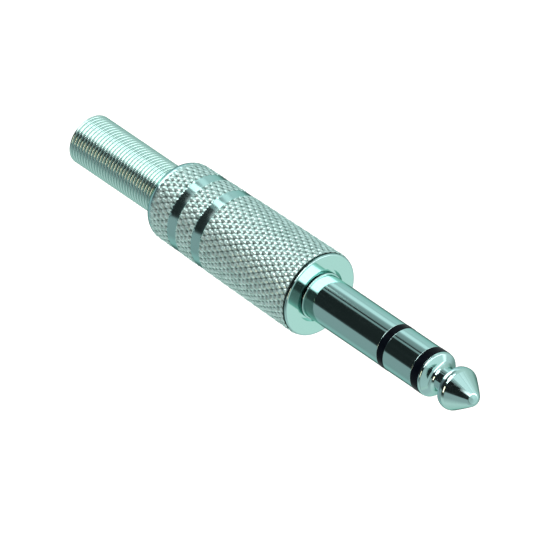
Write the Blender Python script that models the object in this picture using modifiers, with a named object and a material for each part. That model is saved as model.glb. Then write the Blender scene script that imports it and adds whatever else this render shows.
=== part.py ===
"""Stereo jack plug, 6.35 mm, with a screw-on knurled barrel and a spring strain relief.

The plug lies along X with its tip at +X. The origin is the centre of the flange's front face, which
is the shoulder that meets a socket. Sizes are in metres.
"""

import math

import bmesh
import bpy

# Contacts in front of the flange
SLEEVE_D = 0.00635
SLEEVE_L = 0.01475
REAR_COLLAR_L = 0.0012
RING_L = 0.0054
FRONT_COLLAR_L = 0.0014
COLLAR_LIP = 0.00003

# Root bead, the crease behind it, and the flange, whose edge stays just inside the barrel's rim
BEAD_R = 0.00022
BEAD_TURN = 120.0
CREASE_DEPTH = 0.0001
CREASE_EDGE = 0.00005
FLANGE_STEP = 0.00016
FLANGE_T = 0.0005
FLANGE_EDGE = 0.0003

# Tip: a short land, a groove with steep faces, and an arrow head on a cone with a blunt point
TIP_LAND = 0.0003
TIP_EDGE_R = 0.000175
FACE_ANGLE = 63.0
COVE_R = 0.001
NECK_D = 0.0034
NECK_L = 0.00124
HEAD_D = 0.00605
HEAD_BACK_L = 0.00075
HEAD_CROWN_R = 0.0017
HEAD_SHOULDER_R = 0.0011
POINT_ANGLE = 34.6
POINT_R = 0.0014

# Nested tubes, from the centre rod outwards
ROD_D = 0.002
INSULATOR_WALL = 0.00045
RING_TUBE_WALL = 0.0004
FIT = 0.00005
SEAT = 0.00002

# Threaded stub behind the flange, with the thread left plain at its core
STUB_D = 0.0091
STUB_L = 0.006
RELIEF_DEPTH = 0.00025
RELIEF_L = 0.0005
STUB_CHAMFER = 0.0002
SPIGOT_WALL = 0.0004
STAKE_LIP = 0.0002
STAKE_L = 0.0002

# Stack of terminals and washers
PLATE_T = 0.0005
BODY_WASHER_T = 0.0007
BODY_WASHER_D = 0.0063
LUG_T = 0.0004
RING_LUG_D = 0.0055
TIP_LUG_D = 0.0046
TERMINAL_WASHER_T = 0.0006
TERMINAL_WASHER_D = 0.005
TUBE_LIP = 0.0003
TUBE_LIP_L = 0.0002
RIVET_LIP = 0.0006
RIVET_L = 0.0006
TAB_T = 0.00034
TAB_GAP = 0.0002
TAB_BEND = 0.0003
TAB_W = 0.002
RING_TAB_L = 0.0055
TIP_TAB_L = 0.0052
SOLDER_HOLE_D = 0.001
SOLDER_HOLE_EDGE = 0.0013

# Earth strap, rolled to lie inside the liner
STRAP_T = 0.0005
STACK_GAP = 0.0002
STRAP_GAP = 0.0003
STRAP_HALF_ANGLE = 24.0
STRAP_L = 0.0105
JAW_HALF_ANGLE = 104.0
JAW_L = 0.0036
JAW_EDGE = 0.0005
JAW_CORNER = 8.0

# Liner
LINER_WALL = 0.00045
LINER_FIT = 0.00015
LINER_PLAY = 0.0001

# Barrel, 12.06 mm across at its rim and 11.27 mm at its rear
FLANGE_GAP = 0.0001
BARREL_L = 0.0263
THREAD_ROOM = 0.00045
RIM_WALL = 0.00103
SIDE_WALL = 0.000885
RIM_EDGE = 0.00025
BORE_STEP_L = 0.0007
DOME_R = 0.0025
HOLE_EDGE = 0.00015
REAR_WALL = 0.0017
GROOVE_W = 0.0016
GROOVE_DEPTH = 0.00015
GROOVE_CHAMFER = 0.00012
GROOVE_1_FROM_REAR = 0.0031
GROOVE_SPACING = 0.00475

# Spring
SPRING_D = 0.00715
WIRE_D = 0.00052
COIL_GAP = 0.00004
SPRING_OUT = 0.0169
SPRING_FIT = 0.0001
FOOT_FIT = 0.0003
FOOT_TURNS = 1.0
FOOT_TAPER_TURNS = 0.85
SPRING_SEAT = 0.00008

# Fineness of the facets
SIDES = 28
ARC_STEPS = 3
COIL_POINTS = 12
STRAP_COLUMNS = 8

# Places along X, from the flange face forwards
sleeve_end = SLEEVE_L
ring_start = sleeve_end + REAR_COLLAR_L
ring_end = ring_start + RING_L
tip_start = ring_end + FRONT_COLLAR_L

# Places along X, from the flange backwards
flange_back = -FLANGE_T
stub_end = flange_back - STUB_L
plate_back = stub_end - SEAT - PLATE_T
spigot_end = plate_back - SEAT - STAKE_L
washer_front = spigot_end - FIT
washer_back = washer_front - BODY_WASHER_T
ring_lug_back = washer_back - SEAT - LUG_T
ring_tube_end = ring_lug_back - SEAT - TUBE_LIP_L
terminal_washer_front = ring_tube_end - FIT
terminal_washer_back = terminal_washer_front - TERMINAL_WASHER_T
tip_lug_back = terminal_washer_back - SEAT - LUG_T
rivet_front = tip_lug_back - SEAT
liner_front = stub_end - LINER_PLAY
barrel_front = flange_back - FLANGE_GAP
dome_start = barrel_front - BARREL_L

# Radii of the nested tubes
sleeve_r = SLEEVE_D / 2
rod_r = ROD_D / 2
tip_tube_in = rod_r + FIT
tip_tube_out = tip_tube_in + INSULATOR_WALL
ring_tube_in = tip_tube_out + FIT
ring_tube_out = ring_tube_in + RING_TUBE_WALL
rear_tube_in = ring_tube_out + FIT
rear_tube_out = rear_tube_in + INSULATOR_WALL
body_bore_r = rear_tube_out + FIT
spigot_r = body_bore_r + SPIGOT_WALL

# Radii from the stack of washers out to the barrel's bore
tab_in = RING_LUG_D / 2 + TAB_GAP
tab_out = tab_in + TAB_T
strap_in = BODY_WASHER_D / 2 + STACK_GAP
strap_out = strap_in + STRAP_T
liner_in = strap_out + STRAP_GAP
liner_r = liner_in + LINER_WALL
bore_r = liner_r + LINER_FIT
stub_r = STUB_D / 2
thread_bore_r = stub_r + THREAD_ROOM

# Outside radii of the barrel, and the flange that follows them
rim_r = thread_bore_r + RIM_WALL
rear_r = bore_r + SIDE_WALL
flange_r = rim_r - FLANGE_STEP

# Rear of the barrel, where the spring's foot sits between the shoulder and the liner
spring_hole_r = SPRING_D / 2 + SPRING_FIT
dome_centre_r = rear_r - DOME_R
rear_end = dome_start - math.sqrt(DOME_R ** 2 - (spring_hole_r + HOLE_EDGE - dome_centre_r) ** 2)
shoulder = rear_end + REAR_WALL
coil_pitch = WIRE_D + COIL_GAP
foot_l = WIRE_D + coil_pitch * (FOOT_TURNS + FOOT_TAPER_TURNS) + 2 * SPRING_SEAT
liner_back = shoulder + foot_l


def linear(channel):
    """One sRGB channel, 0 to 1, as linear light."""
    if channel <= 0.04045:
        return channel / 12.92
    return ((channel + 0.055) / 1.055) ** 2.4


def finish(name, colour, metallic, roughness):
    """A material from an sRGB hex colour."""
    material = bpy.data.materials.new(name)
    material.use_nodes = True
    shader = material.node_tree.nodes["Principled BSDF"]
    channels = [int(colour[i:i + 2], 16) / 255 for i in (1, 3, 5)]
    shader.inputs["Base Color"].default_value = [linear(c) for c in channels] + [1.0]
    shader.inputs["Metallic"].default_value = metallic
    shader.inputs["Roughness"].default_value = roughness
    return material


def arc(x, r, radius, start, end, steps=ARC_STEPS, squash=1.0):
    """Points (x, r) on an arc about (x, r). Degrees run from +X towards the outside."""
    points = []
    for i in range(steps + 1):
        angle = math.radians(start + (end - start) * i / steps)
        points.append((x + radius * math.cos(angle), r + radius * squash * math.sin(angle)))
    return points


def mesh_object(name, bm, material, collection):
    mesh = bpy.data.meshes.new(name)
    bm.to_mesh(mesh)
    bm.free()
    piece = bpy.data.objects.new(name, mesh)
    piece.data.materials.append(material)
    collection.objects.link(piece)
    return piece


def turned(name, outline, material, collection, closed=True):
    """A turned piece. The outline holds (x, radius) down the outer side, from the tip's end
    backwards. A closed one then comes back up its bore, and an open one ends on the axis."""
    bm = bmesh.new()
    points = [bm.verts.new((r, 0, x)) for x, r in outline]
    for first, second in zip(points, points[1:]):
        bm.edges.new((first, second))
    if closed:
        bm.edges.new((points[-1], points[0]))
    piece = mesh_object(name, bm, material, collection)
    piece.rotation_euler = (0, math.pi / 2, 0)
    screw = piece.modifiers.new("turn", "SCREW")
    screw.axis = "Z"
    screw.angle = 2 * math.pi
    screw.steps = SIDES
    screw.render_steps = SIDES
    screw.use_merge_vertices = True
    screw.merge_threshold = 1e-6
    screw.use_smooth_shade = True
    return piece


def smooth_turned(piece):
    """Bakes the modifiers into the mesh and shades it smooth between its sharp edges."""
    bpy.context.view_layer.update()
    graph = bpy.context.evaluated_depsgraph_get()
    mesh = bpy.data.meshes.new_from_object(piece.evaluated_get(graph))
    piece.modifiers.clear()
    piece.data = mesh
    mesh.shade_smooth()
    mesh.set_sharp_from_angle(angle=math.radians(35))


def boolean(piece, other, operation):
    """Joins or cuts with another object, and leaves the result in the piece's own mesh."""
    cut = piece.modifiers.new(operation.lower(), "BOOLEAN")
    cut.operation = operation
    cut.solver = "EXACT"
    cut.object = other
    smooth_turned(piece)
    other.hide_render = True
    other.display_type = "WIRE"


def tip_contact(material, parts):
    """Rod, land, neck and arrow head turned from one bar, with the rod's end peened over."""
    head_r = HEAD_D / 2
    neck_r = NECK_D / 2
    face = math.radians(FACE_ANGLE)
    land_front = tip_start + TIP_LAND
    edge_x = land_front + TIP_EDGE_R * math.sin(face)
    edge_r = sleeve_r - TIP_EDGE_R * (1 - math.cos(face))
    cove_top_r = neck_r + COVE_R * (1 - math.cos(face))
    neck_back = edge_x + (edge_r - cove_top_r) / math.tan(face) + COVE_R * math.sin(face)
    crown = math.asin(HEAD_BACK_L / HEAD_CROWN_R)
    head_back_r = head_r - HEAD_CROWN_R * (1 - math.cos(crown))
    neck_front = neck_back + NECK_L
    head_top = neck_front + (head_back_r - neck_r) / math.tan(face) + HEAD_BACK_L
    angle = math.radians(POINT_ANGLE)
    cone_start = head_top + HEAD_SHOULDER_R * math.sin(angle)
    cone_start_r = head_r - HEAD_SHOULDER_R * (1 - math.cos(angle))
    cone_end = cone_start + (cone_start_r - POINT_R * math.cos(angle)) / math.tan(angle)
    point_centre = cone_end - POINT_R * math.sin(angle)
    outline = arc(point_centre, 0, POINT_R, 0, 90 - POINT_ANGLE)
    outline[0] = (outline[0][0], 0)
    outline += arc(head_top, head_r - HEAD_SHOULDER_R, HEAD_SHOULDER_R, 90 - POINT_ANGLE, 90)
    crown_end = 90 + math.degrees(crown)
    outline += arc(head_top, head_r - HEAD_CROWN_R, HEAD_CROWN_R, 90, crown_end, 2)[1:]
    outline += [(neck_front, neck_r)]
    outline += arc(neck_back, neck_r + COVE_R, COVE_R, 270, 270 - FACE_ANGLE, 2)
    outline += arc(land_front, sleeve_r - TIP_EDGE_R, TIP_EDGE_R, 90 - FACE_ANGLE, 90, 2)
    outline += [(tip_start, sleeve_r), (tip_start, rod_r), (rivet_front, rod_r)]
    rivet_r = rod_r + RIVET_LIP
    outline += [(rivet_front, rivet_r)]
    outline += arc(rivet_front, 0, RIVET_L, 90, 180, 3, rivet_r / RIVET_L)[1:-1]
    outline += [(rivet_front - RIVET_L, 0)]
    turned("tip_contact", outline, material, parts, closed=False)


def collared_tube(name, front, back, collar_r, tube_out, tube_in, end, material, parts):
    """A moulded insulator: a collar that parts two contacts, and the tube behind it."""
    outline = [
        (front - SEAT, tube_in),
        (front - SEAT, collar_r),
        (back + SEAT, collar_r),
        (back + SEAT, tube_out),
        (end, tube_out),
        (end, tube_in),
    ]
    turned(name, outline, material, parts)


def ring_contact(material, parts):
    """The ring with its tube, whose back end is flared over the ring's lug."""
    outline = [
        (ring_end, ring_tube_in),
        (ring_end, sleeve_r),
        (ring_start, sleeve_r),
        (ring_start, ring_tube_out),
        (ring_lug_back - SEAT, ring_tube_out),
        (ring_lug_back - SEAT, ring_tube_out + TUBE_LIP),
        (ring_tube_end, ring_tube_out + TUBE_LIP),
        (ring_tube_end, ring_tube_in),
    ]
    turned("ring_contact", outline, material, parts)


def plug_body(material, parts):
    """Sleeve, root bead, flange, threaded stub and staked spigot, turned in one piece."""
    relief_r = stub_r - RELIEF_DEPTH
    outline = [(sleeve_end, body_bore_r), (sleeve_end, sleeve_r)]
    outline += arc(BEAD_R, sleeve_r, BEAD_R, 0, BEAD_TURN)
    crease_r = outline[-1][1]
    outline += [(-CREASE_DEPTH, crease_r), (0, sleeve_r + BEAD_R + CREASE_EDGE)]
    outline += arc(-FLANGE_EDGE, flange_r - FLANGE_EDGE, FLANGE_EDGE, 0, 90)
    outline += [
        (flange_back, flange_r),
        (flange_back, relief_r),
        (flange_back - RELIEF_L, relief_r),
        (flange_back - RELIEF_L - STUB_CHAMFER, stub_r),
        (stub_end + STUB_CHAMFER, stub_r),
        (stub_end, stub_r - STUB_CHAMFER),
        (stub_end, spigot_r),
        (plate_back - SEAT, spigot_r),
        (plate_back - SEAT, spigot_r + STAKE_LIP),
        (spigot_end, spigot_r + STAKE_LIP),
        (spigot_end, body_bore_r),
    ]
    turned("plug_body", outline, material, parts)


def washer(name, front, thickness, outer_d, hole_r, material, parts):
    outer_r = outer_d / 2
    outline = [
        (front, hole_r),
        (front, outer_r),
        (front - thickness, outer_r),
        (front - thickness, hole_r),
    ]
    return turned(name, outline, material, parts)


def sheet(name, rows, thickness, material, collection, corner=0):
    """A bent sheet: rows of points make its middle surface, and Solidify gives it its thickness.
    The corners of the last row may be rounded."""
    bm = bmesh.new()
    grid = [[bm.verts.new(point) for point in row] for row in rows]
    for row, following in zip(grid, grid[1:]):
        for i in range(len(row) - 1):
            bm.faces.new((row[i], row[i + 1], following[i + 1], following[i]))
    if corner:
        ends = [grid[-1][0], grid[-1][-1]]
        bmesh.ops.bevel(
            bm, geom=ends, offset=corner, segments=3, affect="VERTICES", profile=0.5, material=-1
        )
    bmesh.ops.recalc_face_normals(bm, faces=bm.faces)
    piece = mesh_object(name, bm, material, collection)
    wall = piece.modifiers.new("wall", "SOLIDIFY")
    wall.thickness = thickness
    wall.offset = 0
    return piece


def drill(piece, place, axis_turn, diameter, depth, cutters, material):
    """Cuts a round hole through the piece at a place."""
    bm = bmesh.new()
    bmesh.ops.create_cone(
        bm, cap_ends=True, segments=12, radius1=diameter / 2, radius2=diameter / 2, depth=depth
    )
    cutter = mesh_object(piece.name + "_hole", bm, material, cutters)
    cutter.location = place
    cutter.rotation_euler = axis_turn
    boolean(piece, cutter, "DIFFERENCE")


def flat_plate(name, front, thickness, outer_r, hole_r, material, parts):
    """A washer plate that other shapes are joined to, with its turning already applied."""
    plate = washer(name, front, thickness, 2 * outer_r, hole_r, material, parts)
    smooth_turned(plate)
    plate.data.transform(plate.matrix_world)
    plate.rotation_euler = (0, 0, 0)
    return plate


def lug(name, front, outer_d, hole_r, tab_l, side, material, parts, cutters):
    """A solder lug: a washer plate with a tab bent to run backwards at the side (1 or -1)."""
    plate = flat_plate(name, front, LUG_T, outer_d / 2, hole_r, material, parts)
    leg_x = front - LUG_T / 2
    tab_y = tab_in + TAB_T / 2
    tab_end = front - tab_l
    bend = arc(leg_x - TAB_BEND, tab_y - TAB_BEND, TAB_BEND, 0, 90, 3)
    middle = [(leg_x, (hole_r + outer_d / 2) / 2)] + bend + [(tab_end, tab_y)]
    rows = [[(x, side * y, z) for z in (-TAB_W / 2, TAB_W / 2)] for x, y in middle]
    tab = sheet(name + "_tab", rows, TAB_T, material, cutters, corner=TAB_W / 3)
    boolean(plate, tab, "UNION")
    hole = (tab_end + SOLDER_HOLE_EDGE, side * tab_y, 0)
    drill(plate, hole, (math.pi / 2, 0, 0), SOLDER_HOLE_D, 4 * LUG_T, cutters, material)


def sleeve_terminal(material, parts, cutters):
    """Earth plate on the spigot, with a rolled strap that opens into two cable jaws."""
    plate = flat_plate(
        "sleeve_terminal", stub_end - SEAT, PLATE_T, strap_out + STRAP_GAP / 2,
        spigot_r + FIT, material, parts,
    )
    start = stub_end - SEAT - PLATE_T / 2
    jaw_front = start - STRAP_L
    jaw_back = jaw_front - JAW_L
    stations = [
        (start, STRAP_HALF_ANGLE),
        (jaw_front + JAW_EDGE, STRAP_HALF_ANGLE),
        (jaw_front, JAW_HALF_ANGLE - JAW_CORNER),
        (jaw_front - JAW_EDGE, JAW_HALF_ANGLE),
        (jaw_back + JAW_EDGE, JAW_HALF_ANGLE),
        (jaw_back, JAW_HALF_ANGLE - JAW_CORNER),
    ]
    mean_r = strap_out - STRAP_T / 2
    rows = []
    for x, half_angle in stations:
        row = []
        for i in range(STRAP_COLUMNS + 1):
            angle = math.radians(half_angle * (2 * i / STRAP_COLUMNS - 1))
            row.append((x, mean_r * math.sin(angle), -mean_r * math.cos(angle)))
        rows.append(row)
    strap = sheet("sleeve_strap", rows, STRAP_T, material, cutters)
    boolean(plate, strap, "UNION")


def liner(material, parts):
    outline = [
        (liner_front, liner_in),
        (liner_front, liner_r),
        (liner_back, liner_r),
        (liner_back, liner_in),
    ]
    turned("liner", outline, material, parts)


def barrel(material, parts):
    """Tapered shell with two smooth grooves, a domed rear and a stepped bore."""
    def outside(x):
        return rim_r + (rear_r - rim_r) * (barrel_front - x) / BARREL_L

    outline = [
        (barrel_front, thread_bore_r + RIM_EDGE),
        (barrel_front, rim_r - RIM_EDGE),
    ]
    outline += arc(barrel_front - RIM_EDGE, rim_r - RIM_EDGE, RIM_EDGE, 0, 90)[1:]
    groove_1 = dome_start + GROOVE_1_FROM_REAR
    for groove_back in (groove_1 + GROOVE_SPACING, groove_1):
        groove_front = groove_back + GROOVE_W
        outline += [
            (groove_front, outside(groove_front)),
            (groove_front - GROOVE_CHAMFER, outside(groove_front) - GROOVE_DEPTH),
            (groove_back + GROOVE_CHAMFER, outside(groove_back) - GROOVE_DEPTH),
            (groove_back, outside(groove_back)),
        ]
    reach = spring_hole_r + HOLE_EDGE - dome_centre_r
    end_angle = 180 - math.degrees(math.asin(reach / DOME_R))
    outline += arc(dome_start, dome_centre_r, DOME_R, 90, end_angle, 5)
    outline += [
        (rear_end + HOLE_EDGE, spring_hole_r),
        (shoulder, spring_hole_r),
        (shoulder, bore_r),
        (stub_end - BORE_STEP_L, bore_r),
        (stub_end - BORE_STEP_L / 2, thread_bore_r),
        (barrel_front - RIM_EDGE, thread_bore_r),
    ]
    turned("barrel", outline, material, parts)


def spring(material, parts):
    """Close-wound wire. Its wide foot is held between the liner and the barrel's shoulder."""
    coil_r = (SPRING_D - WIRE_D) / 2
    foot_r = bore_r - FOOT_FIT - WIRE_D / 2
    start = liner_back - SPRING_SEAT - WIRE_D / 2
    end = rear_end - SPRING_OUT + WIRE_D / 2
    turns = (start - end) / coil_pitch
    count = round(turns * COIL_POINTS)
    shape = bpy.data.curves.new("spring", "CURVE")
    shape.dimensions = "3D"
    shape.bevel_depth = WIRE_D / 2
    shape.bevel_resolution = 1
    shape.use_fill_caps = True
    shape.twist_mode = "MINIMUM"
    spline = shape.splines.new("POLY")
    spline.points.add(count)
    for i, place in enumerate(spline.points):
        turn = turns * i / count
        taper = min(max((turn - FOOT_TURNS) / FOOT_TAPER_TURNS, 0), 1)
        radius = foot_r + (coil_r - foot_r) * (3 - 2 * taper) * taper ** 2
        angle = 2 * math.pi * turn
        x = start - coil_pitch * turn
        place.co = (x, radius * math.cos(angle), radius * math.sin(angle), 1)
    piece = bpy.data.objects.new("spring", shape)
    shape.materials.append(material)
    parts.objects.link(piece)


def main():
    for old in list(bpy.data.objects):
        bpy.data.objects.remove(old)
    parts = bpy.data.collections.new("jack_plug")
    cutters = bpy.data.collections.new("cutters")
    cutters.hide_render = True
    for collection in (parts, cutters):
        bpy.context.scene.collection.children.link(collection)

    nickel = finish("polished_nickel", "#c9d6d3", 1.0, 0.12)
    knurled = finish("knurled_nickel", "#c2cdca", 1.0, 0.3)
    steel = finish("spring_steel", "#b9c6c4", 1.0, 0.28)
    black = finish("black_collar", "#0d1014", 0.0, 0.3)
    tinned = finish("tinned_brass", "#c7c4b8", 1.0, 0.3)
    fibre = finish("fibre_washer", "#7a4a35", 0.0, 0.8)
    clear = finish("liner_tube", "#e6e8e4", 0.0, 0.4)

    tip_contact(nickel, parts)
    collared_tube(
        "tip_insulator", tip_start, ring_end, sleeve_r + COLLAR_LIP,
        tip_tube_out, tip_tube_in, ring_tube_end, black, parts,
    )
    ring_contact(nickel, parts)
    collared_tube(
        "ring_insulator", ring_start, sleeve_end, sleeve_r + COLLAR_LIP,
        rear_tube_out, rear_tube_in, spigot_end, black, parts,
    )
    plug_body(nickel, parts)
    sleeve_terminal(tinned, parts, cutters)
    washer(
        "body_washer", washer_front, BODY_WASHER_T, BODY_WASHER_D, ring_tube_out + FIT,
        fibre, parts,
    )
    lug(
        "ring_terminal", washer_back - SEAT, RING_LUG_D, ring_tube_out + FIT,
        RING_TAB_L, 1, tinned, parts, cutters,
    )
    washer(
        "terminal_washer", terminal_washer_front, TERMINAL_WASHER_T, TERMINAL_WASHER_D,
        rod_r + FIT, fibre, parts,
    )
    lug(
        "tip_terminal", terminal_washer_back - SEAT, TIP_LUG_D, rod_r + FIT,
        TIP_TAB_L, -1, tinned, parts, cutters,
    )
    liner(clear, parts)
    barrel(knurled, parts)
    spring(steel, parts)


main()
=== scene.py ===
"""Looks of the 6.35 mm stereo jack plug: a mirror-bright nickel plug, a knurled satin shell and a
close-wound spring. Lengths are in metres. The plug lies along X with its tip at +X."""

import math

import bmesh
import bpy
from mathutils import Matrix, Vector, noise


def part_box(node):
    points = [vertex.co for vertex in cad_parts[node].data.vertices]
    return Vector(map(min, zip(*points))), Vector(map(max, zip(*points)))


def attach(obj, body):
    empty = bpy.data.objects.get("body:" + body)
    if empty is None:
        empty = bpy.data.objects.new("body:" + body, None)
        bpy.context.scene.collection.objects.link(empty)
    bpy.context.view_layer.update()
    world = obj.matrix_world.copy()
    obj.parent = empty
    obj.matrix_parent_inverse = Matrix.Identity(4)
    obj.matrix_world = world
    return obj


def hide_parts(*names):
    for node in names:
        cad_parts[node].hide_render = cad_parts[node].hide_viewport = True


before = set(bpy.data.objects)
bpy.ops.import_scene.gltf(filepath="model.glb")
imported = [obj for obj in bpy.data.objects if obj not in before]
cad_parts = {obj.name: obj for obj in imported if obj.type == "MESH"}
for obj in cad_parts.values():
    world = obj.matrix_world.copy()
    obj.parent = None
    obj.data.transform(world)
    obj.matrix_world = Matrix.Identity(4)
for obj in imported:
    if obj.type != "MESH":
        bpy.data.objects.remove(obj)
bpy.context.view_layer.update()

# Camera. A long lens looks down on the plug from the side of its tip, with the tip at the lower
# right of the square picture.
AZIMUTH = math.radians(49.35)
ELEVATION = math.radians(35.7)
LENS_MM = 1600.0
SENSOR_MM = 36.0
PICTURE_WIDTH = 0.06904
AXIS_POINT_X = -0.0108
PICTURE_SHIFT = (0.0001, -0.00107)
NEAREST = 0.1
FARTHEST = 20

backwards = Vector((
    math.sin(AZIMUTH) * math.cos(ELEVATION),
    -math.cos(AZIMUTH) * math.cos(ELEVATION),
    math.sin(ELEVATION),
))
rightwards = Vector((math.cos(AZIMUTH), math.sin(AZIMUTH), 0))
upwards = backwards.cross(rightwards)
aim = Vector((AXIS_POINT_X, 0, 0)) + rightwards * PICTURE_SHIFT[0] + upwards * PICTURE_SHIFT[1]

camera = bpy.data.objects.new("camera", bpy.data.cameras.new("camera"))
camera.data.lens = LENS_MM
camera.data.sensor_width = SENSOR_MM
camera.data.clip_start = NEAREST
camera.data.clip_end = FARTHEST
camera.location = aim + backwards * PICTURE_WIDTH * LENS_MM / SENSOR_MM
camera.rotation_euler = backwards.to_track_quat("Z", "Y").to_euler()
bpy.context.scene.collection.objects.link(camera)
bpy.context.scene.camera = camera
bpy.context.scene.view_settings.view_transform = "Standard"

# Studio. A white room with four small lamps: two beside the plug, one above it and one low behind
# its spring. The metal mirrors another room: its left side is dark over a grey floor, the ceiling
# is dim and then white, and a dark card stands low behind the plug. Each row of MIRRORED is for a
# stretch of directions along the plug, rear to front. It gives a tint and then the brightness by
# degrees round the axis: -90 is the floor, 0 the left side, 90 the ceiling and 180 the right side.
LAMPS = {
    "near_lamp": {
        "at": (0, -0.378, 0.466), "size": (0.2, 0.2), "brightness": 4.5, "colour": "#ffffff",
    },
    "low_lamp": {
        "at": (0, -0.591, 0.102), "size": (0.13, 0.3), "brightness": 4.0, "colour": "#ffe9c8",
    },
    "high_lamp": {
        "at": (0, 0.012, 0.6), "size": (0.12, 0.16), "brightness": 3.0, "colour": "#f2f0ff",
    },
    "barrel_lamp": {
        "at": (-0.0955, 0.012, 0.084), "size": (0.03, 0.05), "brightness": 1.8,
        "colour": "#e6f8f6",
    },
}
LIT_PLACE = (-0.02, 0, 0)
ROOM_BRIGHTNESS = 1.0
MIRROR_BRIGHTEST = 5.0
TINTED_UP_TO = 1.2
WHITE_FROM = 2.5
MIRRORED = (
    ((-1.0, -0.84), "#d8f1f8", (
        (-180, 0.95), (-130, 0.85), (-60, 0.75), (-34, 0.65), (-20, 0.25), (10, 0.18), (42, 0.25),
        (50, 0.8), (57, 3.2), (122, 3.0), (138, 1.4), (180, 0.95),
    )),
    ((-0.7, -0.5), "#ddf6f6", (
        (-180, 1.0), (-150, 0.95), (-100, 0.95), (-76, 0.8), (-60, 0.56), (-3, 0.53), (1, 0.08),
        (8, 0.025), (76, 0.025), (79, 0.46), (85, 0.52), (87, 0.03), (92, 0.03), (95, 0.4),
        (112, 0.5), (118, 0.75), (123, 1.3), (134, 1.35), (141, 1.05), (144, 0.8), (147, 1.0),
        (180, 1.0),
    )),
    ((-0.38, 0.1), "#dff3ee", (
        (-180, 0.9), (-165, 0.6), (-145, 0.6), (-125, 1.1), (-100, 1.1), (-75, 1.05), (-56, 1.1),
        (-36, 0.95), (-24, 0.35), (-16, 0.06), (8, 0.03), (50, 0.03), (54, 0.6), (58, 3.6),
        (80, 3.6), (84, 0.8), (96, 0.95), (140, 1.1), (160, 0.95), (180, 0.9),
    )),
    ((0.34, 0.53), "#e2f6f6", (
        (-180, 1.0), (-130, 0.95), (-60, 0.68), (-3, 0.58), (1, 0.06), (8, 0.02), (58, 0.02),
        (62, 0.5), (66, 0.25), (70, 0.9), (74, 0.6), (80, 1.35), (110, 1.35), (113, 1.0),
        (116, 1.45), (132, 1.4), (135, 1.0), (138, 1.4), (157, 1.2), (165, 1.0), (180, 1.0),
    )),
    ((0.61, 0.64), "#dff7ef", (
        (-180, 1.9), (-160, 1.6), (-145, 1.22), (-125, 1.22), (-112, 1.4), (-90, 1.1), (-60, 0.5),
        (-30, 0.35), (-4, 0.3), (6, 0.07), (45, 0.07), (55, 4.6), (157, 4.6), (168, 2.2),
        (180, 1.9),
    )),
    ((0.72, 1.0), "#dff6f4", (
        (-180, 1.1), (-125, 1.05), (-60, 0.82), (-10, 0.74), (40, 0.72), (56, 1.0), (100, 1.3),
        (180, 1.2),
    )),
)
DARK_CARD = {"towards": (-0.616, 0.528, -0.584), "from": 33, "to": 20, "brightness": 0.3}
FLOOR_Z = -0.03
FLOOR_SIZE = 4.0
WHITE = "#ffffff"
PAPER = "#f6f6f4"
PAPER_ROUGHNESS = 0.9
PAPER_GLOW = 0.25
# The Mix node's sockets share their names, so they go by number.
MIX_SHARE = 0
NUMBER_A, NUMBER_B, NUMBER_OUT = 2, 3, 0
COLOUR_A, COLOUR_B, COLOUR_OUT = 6, 7, 2


def linear(colour):
    """An sRGB hex colour as linear red, green, blue and alpha."""
    channels = [int(colour[i:i + 2], 16) / 255 for i in (1, 3, 5)]
    return [c / 12.92 if c <= 0.04045 else ((c + 0.055) / 1.055) ** 2.4 for c in channels] + [1.0]


def add(tree, kind, values=(), links=(), **options):
    """Adds a shader node: options are its own settings, values its inputs, and each link names an
    input, the node that feeds it and that node's output."""
    node = tree.nodes.new("ShaderNode" + kind)
    for option, value in options.items():
        setattr(node, option, value)
    for socket, value in dict(values).items():
        node.inputs[socket].default_value = value
    for socket, source, output in links:
        tree.links.new(source.outputs[output], node.inputs[socket])
    return node


def start_surface(name):
    """Starts a material. Gives it with its node tree and the shader that ends it."""
    material = bpy.data.materials.new(name)
    material.use_nodes = True
    tree = material.node_tree
    return material, tree, tree.nodes["Principled BSDF"]


for name, lamp in LAMPS.items():
    light = bpy.data.lights.new(name, "AREA")
    light.shape = "RECTANGLE"
    light.size, light.size_y = lamp["size"]
    light.energy = lamp["brightness"] * math.pi * light.size * light.size_y
    light.color = linear(lamp["colour"])[:3]
    holder = bpy.data.objects.new(name, light)
    holder.location = lamp["at"]
    away = Vector(lamp["at"]) - Vector(LIT_PLACE)
    holder.rotation_euler = away.to_track_quat("Z", "Y").to_euler()
    bpy.context.scene.collection.objects.link(holder)

world = bpy.data.worlds.new("white_room")
world.use_nodes = True
room = world.node_tree
bpy.context.scene.world = world
direction = add(room, "TexCoord")
parts = add(room, "SeparateXYZ", links=[("Vector", direction, "Generated")])
leftwards = add(room, "Math", {1: -1.0}, [(0, parts, "Y")], operation="MULTIPLY")
around = add(room, "Math", links=[(0, parts, "Z"), (1, leftwards, "Value")], operation="ARCTAN2")
share = add(
    room, "MapRange", {"From Min": -math.pi, "From Max": math.pi}, [("Value", around, "Value")]
)
mirror = None
for stretch, tint, stops in MIRRORED:
    ramp = add(room, "ValToRGB", links=[("Fac", share, "Result")])
    while len(ramp.color_ramp.elements) < len(stops):
        ramp.color_ramp.elements.new(1.0)
    for element, (degrees, brightness) in zip(ramp.color_ramp.elements, stops):
        whiteness = min(max((brightness - TINTED_UP_TO) / (WHITE_FROM - TINTED_UP_TO), 0), 1)
        element.position = (degrees + 180) / 360
        element.color = [
            brightness / MIRROR_BRIGHTEST * (c + (1 - c) * whiteness) for c in linear(tint)[:3]
        ] + [1.0]
    if mirror is None:
        mirror, output = ramp, "Color"
    else:
        onwards = add(
            room, "MapRange", {"From Min": last_x, "From Max": stretch[0]}, [("Value", parts, "X")]
        )
        mirror = add(
            room, "Mix", data_type="RGBA",
            links=[
                (MIX_SHARE, onwards, "Result"), (COLOUR_A, mirror, output),
                (COLOUR_B, ramp, "Color"),
            ],
        )
        output = COLOUR_OUT
    last_x = stretch[1]
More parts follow.
